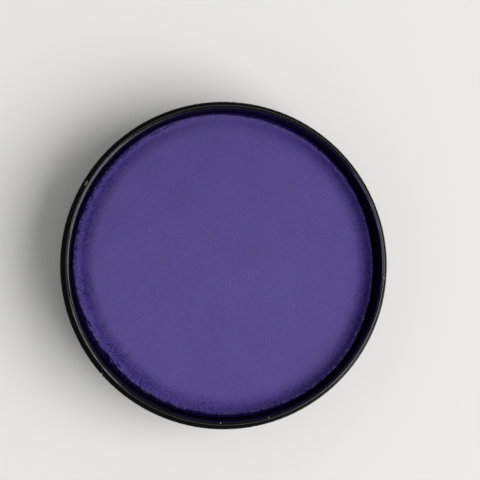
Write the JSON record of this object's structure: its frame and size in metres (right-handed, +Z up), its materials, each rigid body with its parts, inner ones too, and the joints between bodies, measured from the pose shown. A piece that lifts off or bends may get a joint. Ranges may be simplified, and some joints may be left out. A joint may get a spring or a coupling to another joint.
{
  "type": "cake paint pot",
  "caption": "Round black screw-neck pot of pressed cake paint, open, standing in its own upturned screw lid with a foam liner.",
  "frame": {"origin": "middle of the lid's outer face, which lies on the surface that the set stands on", "axes": "+Z up along the axis of the pot and the lid, out of the pot's mouth; +X is the picture's right and +Y is its top"},
  "size_m": [0.09, 0.09, 0.0225],
  "materials": {
    "pot_plastic": "black polypropylene, moulded, satin gloss with fine rub marks along the edges",
    "lid_plastic": "black polypropylene, moulded, satin gloss with fine scratches on the flat face",
    "paint": "violet cake paint, pressed smooth and dead matt, with a faint cloth imprint near its edge",
    "liner_foam": "white closed-cell foam sheet, soft matt skin",
    "label_paper": "bare off-white label stock, matt"
  },
  "bodies": {
    "lid_body": {"lid": "lid_plastic", "lid_liner": "liner_foam", "lid_label": "label_paper"},
    "pot_body": {"pot": "pot_plastic", "paint_cake": "paint", "pot_label": "label_paper"}
  },
  "joints": [
    {"name": "pot_lift", "type": "slide", "parent": "lid_body", "child": "pot_body", "axis": [0, 0, 1], "range_m": [0, 0.03]}
  ]
}
